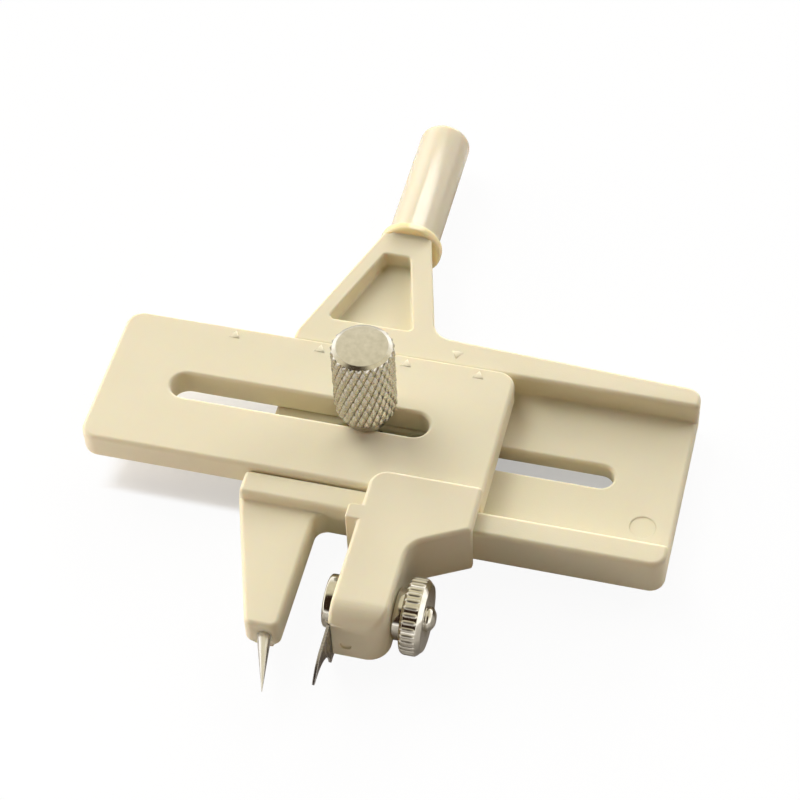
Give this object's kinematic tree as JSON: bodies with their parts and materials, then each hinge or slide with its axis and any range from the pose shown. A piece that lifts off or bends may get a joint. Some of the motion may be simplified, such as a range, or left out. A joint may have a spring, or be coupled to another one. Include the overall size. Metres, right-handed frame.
{
  "type": "compass cutter",
  "caption": "Hand cutter for discs of paper or card: a needle leg on a slotted channel plate, a sliding blade arm locked by a knurled thumb nut, and a finger stem that spins it.",
  "frame": {"origin": "on the spin axis, which runs through the finger stem and the needle tip, at the top face of the stem's flange", "axes": "+X along the plates towards the larger radius, +Y along the stem away from the needle, +Z out of the plates' front face"},
  "size_m": [0.0985, 0.1231, 0.0284],
  "materials": {
    "plate_plastic": "satin beige moulding",
    "stem_plastic": "smooth glossy beige moulding",
    "nickel": "nickel plated, turned and knurled",
    "needle_steel": "ground steel",
    "blade_steel": "hardened and ground steel"
  },
  "bodies": {
    "frame": {"frame": "plate_plastic", "handle": "stem_plastic", "needle": "needle_steel"},
    "clamp_bolt": {"clamp_bolt": "nickel"},
    "thumb_nut": {"thumb_nut": "nickel"},
    "slider": {"slider": "plate_plastic"},
    "blade": {"blade": "blade_steel"},
    "blade_screw": {"blade_screw": "nickel"},
    "blade_nut": {"blade_nut": "nickel"}
  },
  "joints": [
    {"name": "bolt_slide", "type": "slide", "parent": "frame", "child": "clamp_bolt", "axis": [1, 0, 0], "range_m": [-0.001, 0.0375]},
    {"name": "slider_slide", "type": "slide", "parent": "clamp_bolt", "child": "slider", "axis": [1, 0, 0], "range_m": [-0.0016, 0.0314]},
    {"name": "thumb_nut_turn", "type": "hinge", "parent": "clamp_bolt", "child": "thumb_nut", "pos_m": [0.0032, -0.0437, 0], "axis": [0, 0, 1], "continuous": true},
    {"name": "blade_nut_turn", "type": "hinge", "parent": "slider", "child": "blade_nut", "pos_m": [0.01895, -0.0776, 0], "axis": [1, 0, 0], "continuous": true},
    {"name": "blade_screw_slide", "type": "slide", "parent": "slider", "child": "blade_screw", "axis": [-1, 0, 0], "range_m": [0, 0.001]},
    {"name": "blade_slide", "type": "slide", "parent": "slider", "child": "blade", "axis": [0, -1, 0], "range_m": [0, 0.008]}
  ]
}
